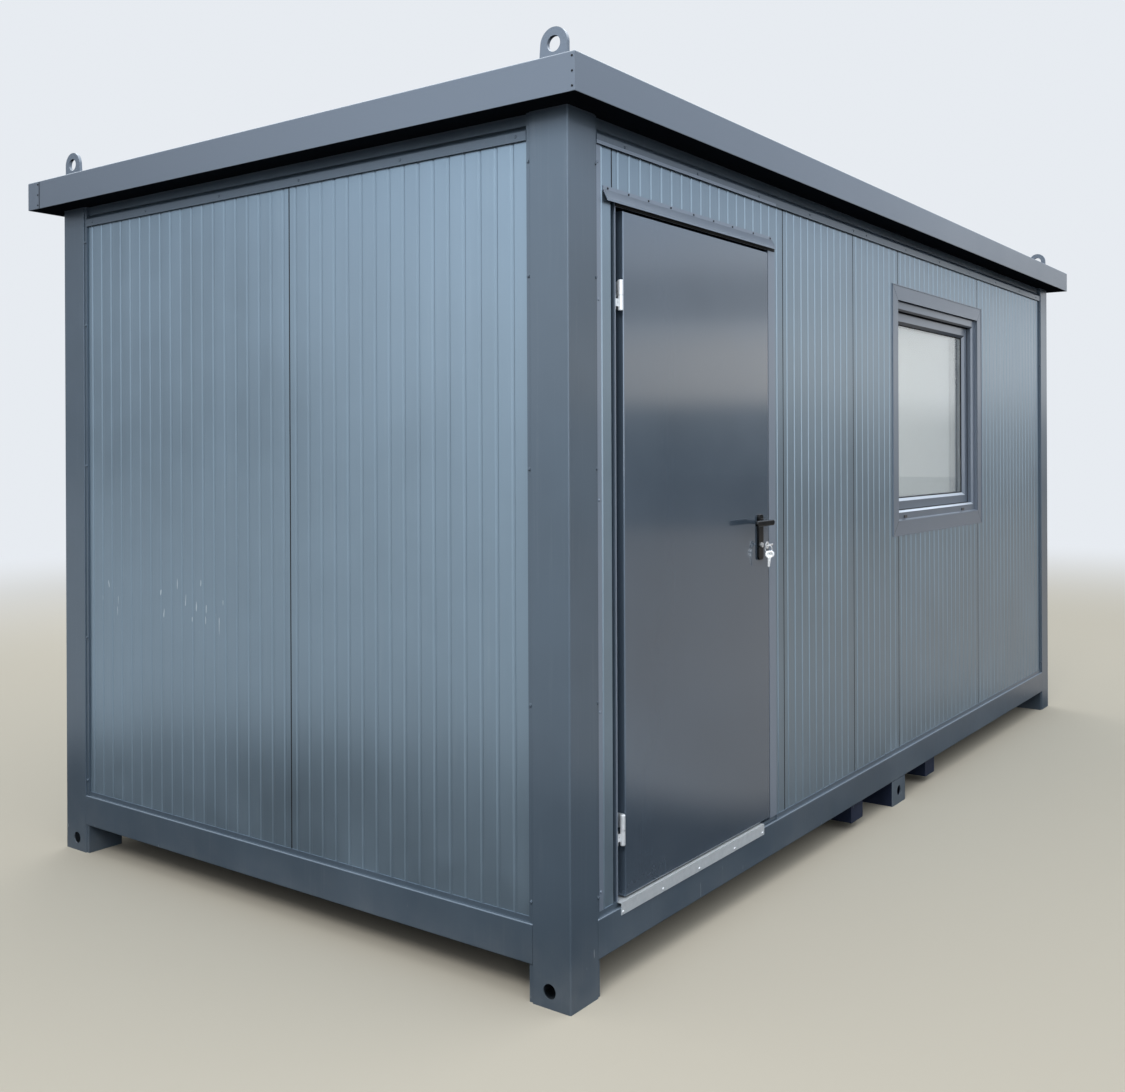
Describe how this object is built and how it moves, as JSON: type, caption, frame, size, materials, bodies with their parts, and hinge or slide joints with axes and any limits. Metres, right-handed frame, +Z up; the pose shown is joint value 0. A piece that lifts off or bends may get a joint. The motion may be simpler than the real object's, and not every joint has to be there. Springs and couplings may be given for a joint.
{
  "type": "portable site cabin",
  "caption": "Steel-framed portable cabin on feet, with ribbed sandwich walls, flat roof, lifting lugs, a hinged door and a window.",
  "frame": {"origin": "on the ground under the middle of the cabin", "axes": "+X along the cabin, to the right seen from the door side; +Y away from the door side; +Z up"},
  "size_m": [5.071, 2.621, 2.708],
  "materials": {
    "frame_paint": "satin",
    "panel_skin": "satin",
    "door_paint": "gloss",
    "roof_steel": "satin",
    "floor_board": "matte",
    "ceiling_board": "matte",
    "zinc_steel": "zinc plated",
    "bare_aluminium": "mill",
    "black_fittings": "satin",
    "lock_steel": "nickel plated",
    "window_plastic": "satin",
    "pane": "clear"
  },
  "bodies": {
    "cabin": {"corner_post_front_left": "frame_paint", "corner_post_front_right": "frame_paint", "corner_post_back_left": "frame_paint", "corner_post_back_right": "frame_paint", "bottom_rail_front": "frame_paint", "bottom_rail_back": "frame_paint", "bottom_rail_left": "frame_paint", "bottom_rail_right": "frame_paint", "top_rail_front": "frame_paint", "top_rail_back": "frame_paint", "top_rail_left": "frame_paint", "top_rail_right": "frame_paint", "roof_fascia_front": "frame_paint", "roof_fascia_back": "frame_paint", "roof_fascia_left": "frame_paint", "roof_fascia_right": "frame_paint", "middle_feet": "frame_paint", "fork_guides": "frame_paint", "lifting_lugs": "frame_paint", "floor_joists": "frame_paint", "door_side_trim": "frame_paint", "door_frame": "frame_paint", "door_drip": "frame_paint", "window_flashing": "frame_paint", "left_wall_panels": "panel_skin", "right_wall_panels": "panel_skin", "back_wall_panels": "panel_skin", "front_door_strips": "panel_skin", "front_panel_over_door": "panel_skin", "front_panel_beside_door": "panel_skin", "front_panel_middle": "panel_skin", "front_panel_under_window": "panel_skin", "front_panel_over_window": "panel_skin", "front_panel_right": "panel_skin", "roof_panel": "roof_steel", "floor_deck": "floor_board", "ceiling": "ceiling_board", "hinge_pins": "zinc_steel", "threshold_strip": "bare_aluminium", "window_frame": "window_plastic", "window_sash": "window_plastic", "window_glass": "pane"},
    "door": {"door_leaf": "door_paint", "hinge_knuckles": "zinc_steel", "lock_plates": "black_fittings", "lock_cylinder": "lock_steel", "keys": "lock_steel"},
    "handle": {"door_handle": "black_fittings"}
  },
  "joints": [
    {"name": "door_hinge", "type": "hinge", "parent": "cabin", "child": "door", "pos_m": [-2.1745, -1.2115, 1.24], "axis": [0, 0, -1], "range_deg": [0, 170]},
    {"name": "handle_turn", "type": "hinge", "parent": "door", "child": "handle", "pos_m": [-1.3025, -1.1905, 1.29], "axis": [0, -1, 0], "range_deg": [0, 40], "stiffness_Nm_per_rad": 0.6, "springref_deg": -28.65}
  ]
}
